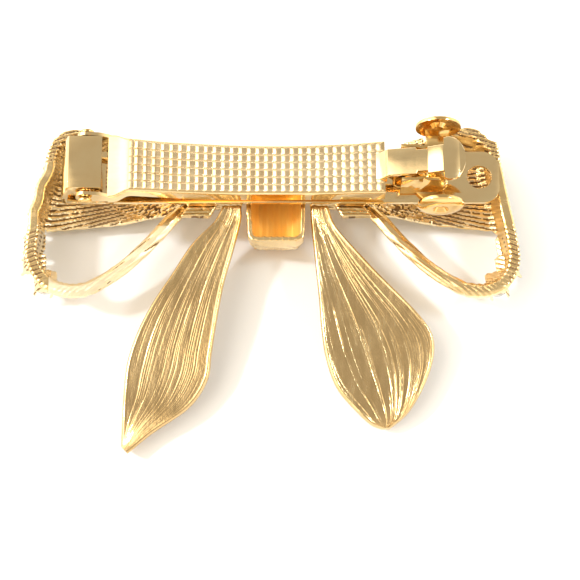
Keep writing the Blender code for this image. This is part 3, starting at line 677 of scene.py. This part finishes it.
def cushion(u, v, fade):
    """Height of one embossed cell: a slope up, a nearly level top, thin grooves round it.

    Towards the clasp (fade 1) the cells are shallower and rounder.
    """
    u = (u + CELL_PHASE) % 1
    if u < CREST:
        rise = u / CREST
    elif u < 1 - GROOVE:
        rise = 1 - 0.4 * (u - CREST) / (1 - GROOVE - CREST)
    else:
        rise = 0.6 * (1 - u) / GROOVE
    relief = RELIEF_LEFT + (RELIEF_RIGHT - RELIEF_LEFT) * fade
    crease = CREASE_LEFT + (CREASE_RIGHT - CREASE_LEFT) * fade
    return relief * rise * min(1.0, (0.5 - abs(v - 0.5)) / crease) ** 0.6


def mirrored(points):
    return [(x, -y, z) for x, y, z in points[::-1]]


def arm_channel():
    """The arm's embossed top with its rounded shoulders and sides, open underneath."""
    steps = (0.0, 0.06, 0.12, 0.2, 0.28, CREST, 0.55, 0.75, 1 - GROOVE)
    cols_u = sorted((u - CELL_PHASE) % 1 for u in steps)
    rows_v = (0.0, 0.045, 0.1, 0.22, 0.36, 0.5, 0.64, 0.78, 0.9, 0.955)
    pitch = (WAFFLE_X1 - WAFFLE_X0) / COLS
    plain = (ARM_START, -30.3, -30.0, -29.6, -29.2, -28.8, -28.4, -28.0, -27.6, -27.2, -26.8, -26.6)
    cells = [(WAFFLE_X0 + pitch * (i + u), u) for i in range(COLS) for u in cols_u]
    end = [(WAFFLE_X1, 0.0), (19.5, None), (19.7, None), (ARM_END, None)]
    columns = [(x, None) for x in plain] + cells + end
    rows = [((k + v) / ROWS, v) for k in range(ROWS) for v in rows_v] + [(1.0, 0.0)]
    rings = []
    for x, u in columns:
        w, z, d = at(ARM_HALF, x), BASE_TOP + arm_curve(x), at(ARM_DEPTH, x)
        field = w - 0.45
        fade = (x - WAFFLE_X0) / (WAFFLE_X1 - WAFFLE_X0)
        top = []
        for y, v in rows:
            sunk = 0 if u is None else 0.06 - cushion(u, v, fade)
            top.append((x, field * (2 * y - 1), z - sunk))
        over = [(x, -w, z - 0.75), (x, -w + 0.03, z - 0.45), (x, -w + 0.12, z - 0.2),
                (x, -w + 0.24, z - 0.05), (x, -w + 0.36, z)]
        under = [(x, w, z - d), (x, w - SHEET_T, z - d), (x, w - SHEET_T, z - SHEET_T - 0.2),
                 (x, w - SHEET_T - 0.3, z - SHEET_T)]
        rings.append(over + top + mirrored(over) + under + mirrored(under))
    return loft(rings)


def tongue():
    """Strip with rounded edges, bent up out of the arm and widening to the finger plate."""
    rings = []
    for x, top, half in TONGUE:
        z, r = BASE_TOP + top, 0.2
        if x < 18.5:
            z -= 0.12  # the root dips under the arm's top
        edge = [(x, -half, z - r), (x, -half + r * 0.3, z - r * 0.3), (x, -half + r, z)]
        rings.append(edge + mirrored(edge) + [(x, half, z - SHEET_T), (x, -half, z - SHEET_T)])
    return loft(rings)


def combine(obj, shape, operation="UNION"):
    tool = make("tool", *shape, obj.data.materials[0])
    mod = obj.modifiers.new("combine", "BOOLEAN")
    mod.operation = operation
    mod.solver = "EXACT"
    mod.object = tool
    evaluated(obj)
    bpy.data.objects.remove(tool, do_unlink=True)


def prism_y(outline, y0, y1):
    return loft([[(x, y, z) for x, z in outline] for y in (y0, y1)])


def arc(cx, cz, r, n, start=0.0, sweep=math.tau):
    """Points on an arc; a full circle doesn't repeat its first point."""
    last = n if sweep == math.tau else n - 1
    return [(cx + r * math.cos(start + sweep * i / last), cz + r * math.sin(start + sweep * i / last))
            for i in range(n)]


def make_arm():
    arm = make("arm_channel", *arm_channel(), SHEET, 32)
    ear = arc(PIVOT_X, PIVOT_Z, EAR_RADIUS, 17, math.pi / 2, math.pi)
    ear += [(-32.6, PIVOT_Z - EAR_RADIUS), (-29.9, BASE_TOP + 3.3), (-29.9, BASE_TOP + 4.9),
            (-32.0, PIVOT_Z + 1.3)]
    for y in (-6.2, 5.55):
        combine(arm, prism_y(ear, y, y + EAR_T))
    combine(arm, prism_y(arc(PIVOT_X, PIVOT_Z, PIN_HOLE, 28), -8, 8), "DIFFERENCE")
    combine(arm, tongue())
    riser = [(19.1, BASE_TOP + 4.3), (ARM_END, BASE_TOP + 4.5), (20.3, BASE_TOP + 6.4),
             (20.0, BASE_TOP + 6.7), (19.2, BASE_TOP + 5.2)]
    combine(arm, prism_y(riser, -2.5, 2.5))
    arm.data.materials.append(WAFFLE)
    for poly in arm.data.polygons:
        x, y = poly.center.x / MM - OX, poly.center.y / MM - OY
        embossed = WAFFLE_X0 < x < WAFFLE_X1 and abs(y) < at(ARM_HALF, x) - 0.5
        if embossed and poly.normal.z > 0.4:
            poly.material_index = 1
    shade(arm, 32)
    finish_piece(arm, "lever", "arm")


make_arm()

# ------------------------------------------------------------------ the clip's other pieces
stamped("base_plate", "bow", SHEET, 0.18)
# the clasp pieces take the deeper orange plating, a painted reflection of light bounced inside the clasp
stamped("tension_strip", "spring", SPRING_GLOW_GOLD, 0.08)
stamped("clasp_base", "bow", SPRING_GLOW_GOLD, 0.08)
stamped("upper_wing", "wing_up", SPRING_GLOW_GOLD, 0.09, 40)
stamped("lower_wing", "wing_low", SPRING_GLOW_GOLD, 0.09, 40)
stamped("hinge_pin", "bow", SPRING_GLOW_GOLD, 0.06)
stamped("clasp_rivet", "bow", SPRING_GLOW_GOLD, 0.06)
for node in ("left_solder", "right_solder"):
    lump = remeshed(node, SOLDER, 0.16)
    displace(lump, lambda x, y, z, no: 0.08 * smooth_noise(x * 1.6, y * 1.6, 51))
    finish_piece(lump, "bow", node)


# ------------------------------------------------------------------ stones
def stone_place(node):
    """The CAD stone's middle, its axis towards its back, and along that axis its table, back and radius."""
    co = positions(frame["nodes"][node])
    middle = co.mean(0)
    axis = np.linalg.eigh(np.cov((co - middle).T))[1][:, 0]
    along = (co - middle) @ axis
    wide = np.linalg.norm(co - middle - np.outer(along, axis), axis=1)
    if along[wide > wide.max() * 0.98].mean() < 0:
        axis, along = -axis, -along
    return middle, axis, along.min() / MM, along.max() / MM, wide.max() / MM


def stone_shape(r, table, back, turn):
    """Brilliant: a table, star and kite facets, a girdle and a flat back."""
    verts, faces = [], []

    def ring(radius, z, n=8, phase=0.0):
        first = len(verts)
        verts.extend((radius * math.cos(turn + phase + math.tau * k / n),
                      radius * math.sin(turn + phase + math.tau * k / n), z) for k in range(n))
        return first

    h = back - table
    a = ring(r * 0.55, table)
    b = ring(r * 0.80, table + h * 0.30, 8, math.pi / 8)
    c = ring(r * 0.985, table + h * 0.62, 16)
    d = ring(r * 0.985, table + h * 0.72, 16)
    e = ring(r * 0.93, back - h * 0.04, 16)
    faces.append(tuple(range(a, a + 8)))
    for k in range(8):
        faces.append((a + k, a + (k + 1) % 8, b + k))
        faces.append((a + k, b + (k - 1) % 8, c + 2 * k, b + k))
        faces.append((b + k, c + 2 * k, c + 2 * k + 1))
        faces.append((b + k, c + 2 * k + 1, c + (2 * k + 2) % 16))
    for k in range(16):
        k2 = (k + 1) % 16
        faces.append((c + k, c + k2, d + k2, d + k))
        faces.append((d + k, d + k2, e + k2, e + k))
    faces.append(tuple(range(e, e + 16)))
    return verts, faces


def stone(name, node):
    """Faceted crown over a foiled back, standing where the CAD stone stands."""
    middle, axis, table, back, r = stone_place(node)
    turn = (middle[0] * 370 + middle[1] * 210) % 0.7
    obj = make(name, *stone_shape(r, table, back, turn), GLASS, 1)
    obj.data.materials.append(FOIL)
    home = world((0, 0, 0))
    for poly in obj.data.polygons:
        poly.use_smooth = False
        if (poly.center.z - home.z) / MM > table + (back - table) * 0.8:
            poly.material_index = 1
    upright = Vector(axis).to_track_quat("Z", "Y").to_matrix().to_4x4()
    obj.data.transform(Matrix.Translation(Vector(middle)) @ upright @ Matrix.Translation(-home))
    finish_piece(obj, "bow", node)


for node in sorted(frame["nodes"]):
    if "_stone_" in node:
        stone(node + "_cut", node)

# ------------------------------------------------------------------ studio
FLOOR_HALF = 1.6
FLOOR_GAP = 0.0002


def paper_floor():
    corners = [(x * FLOOR_HALF, y * FLOOR_HALF, 0) for x, y in ((-1, -1), (1, -1), (1, 1), (-1, 1))]
    mesh = bpy.data.meshes.new("floor")
    mesh.from_pydata(corners, [], [(0, 1, 2, 3)])
    floor = add("floor", mesh)
    floor.location.z = CAD_LOW.z - FLOOR_GAP
    paper = Nodes("paper", (0.76, 0.755, 0.75), 0.0, 0.9)
    fibre = paper.noise(60, 4)
    paper.set("Base Color", paper.mix(paper.span(fibre, 0, 1), (0.765, 0.76, 0.755), (0.755, 0.75, 0.742)))
    mesh.materials.append(paper.m)


def lamp(name, kind, energy, colour, direction, location=(0, 0, 0)):
    """Lamp shining along a direction."""
    light = bpy.data.lights.new(name, kind)
    light.energy = energy
    light.color = colour
    obj = add(name, light)
    obj.location = location
    obj.rotation_mode = "QUATERNION"
    obj.rotation_quaternion = Vector(direction).to_track_quat("-Z", "Y")
    return light


def strip(name, location, width, height):
    """Long lamp that looks at the clip."""
    light = lamp(name, "AREA", 0.9, (1, 0.98, 0.95), -Vector(location), location)
    light.shape = "RECTANGLE"
    light.size = width
    light.size_y = height


def lamps():
    key = lamp("key", "SUN", 2.3, (0.88, 0.94, 1.0), (0.95, -0.10, -0.84))
    key.angle = math.radians(6)
    fill = lamp("right_fill", "SPOT", 9.0, (0.8, 0.92, 1.0), (-0.31, -0.04, -0.42), (0.42, 0.05, 0.42))
    fill.spot_size = math.radians(26)
    fill.spot_blend = 0.9
    fill.shadow_soft_size = 0.08
    strip("right_strip", (0.75, -0.15, 0.55), 0.10, 0.6)
    strip("back_strip", (0.0, 0.8, 0.28), 0.9, 0.12)


def studio_walls():
    """Warm white surroundings with a bright softbox, a white card and a darker patch of ceiling."""
    sky = bpy.data.worlds.new("studio")
    bpy.context.scene.world = sky
    sky.use_nodes = True
    tree = sky.node_tree
    coord = tree.nodes.new("ShaderNodeTexCoord")

    def toward(direction, wide, tight):
        """1 inside the tight angle round a direction, 0 outside the wide one."""
        dot = tree.nodes.new("ShaderNodeVectorMath")
        dot.operation = "DOT_PRODUCT"
        dot.inputs[1].default_value = Vector(direction).normalized()
        tree.links.new(coord.outputs["Generated"], dot.inputs[0])
        span = tree.nodes.new("ShaderNodeMapRange")
        span.interpolation_type = "SMOOTHSTEP"
        tree.links.new(dot.outputs["Value"], span.inputs["Value"])
        span.inputs["From Min"].default_value = math.cos(math.radians(wide))
        span.inputs["From Max"].default_value = math.cos(math.radians(tight))
        return span.outputs["Result"]

    def maths(operation, *values):
        n = tree.nodes.new("ShaderNodeMath")
        n.operation = operation
        for k, v in enumerate(values):
            if isinstance(v, bpy.types.NodeSocket):
                tree.links.new(v, n.inputs[k])
            else:
                n.inputs[k].default_value = v
        return n.outputs[0]

    ceiling = toward((0.16, 0.30, 0.93), 40, 22)  # unlit part of the ceiling
    softbox = toward((-0.80, 0.02, 0.58), 46, 30)  # big softbox on the left
    card = toward((0.90, 0.10, 0.42), 42, 22)  # white card on the right
    roof = toward((0, 0, 1), 78, 48)  # the walls are brighter than the ceiling
    level = maths("MULTIPLY_ADD", softbox, 3.0, maths("MULTIPLY_ADD", roof, -0.45, 1.2))
    level = maths("MULTIPLY_ADD", card, 0.8, level)
    level = maths("MULTIPLY", level, maths("MULTIPLY_ADD", ceiling, -0.27, 1.0))
    background = tree.nodes["Background"]
    background.inputs[0].default_value = (0.98, 0.88, 0.74, 1)
    tree.links.new(level, background.inputs[1])


paper_floor()
lamps()
studio_walls()

# ------------------------------------------------------------------ camera
LENS = 117.31034  # mm, on a 36 mm sensor
ELEVATION, DISTANCE = math.radians(67), 350.0
# the view is turned a little from the clip, which lies above the frame's middle
YAW, PITCH = math.radians(-0.424405), math.radians(3.421548)


def camera():
    back = Vector((0, -math.cos(ELEVATION), math.sin(ELEVATION)))
    data = bpy.data.cameras.new("camera")
    data.sensor_width = 36.0
    data.lens = LENS
    data.clip_start = 0.01
    data.clip_end = 10
    cam = add("camera", data)
    cam.location = world((0, 0, BASE_TOP)) + back * DISTANCE * MM
    facing = (-back).to_track_quat("-Z", "Y").to_matrix().to_4x4()
    turned = Matrix.Rotation(YAW, 4, "Y") @ Matrix.Rotation(-PITCH, 4, "X")
    cam.matrix_world = Matrix.Translation(cam.location) @ facing @ turned
    bpy.context.scene.camera = cam


camera()
view = bpy.context.scene.view_settings
view.view_transform = "Standard"
view.look = "None"
view.exposure = 0.0
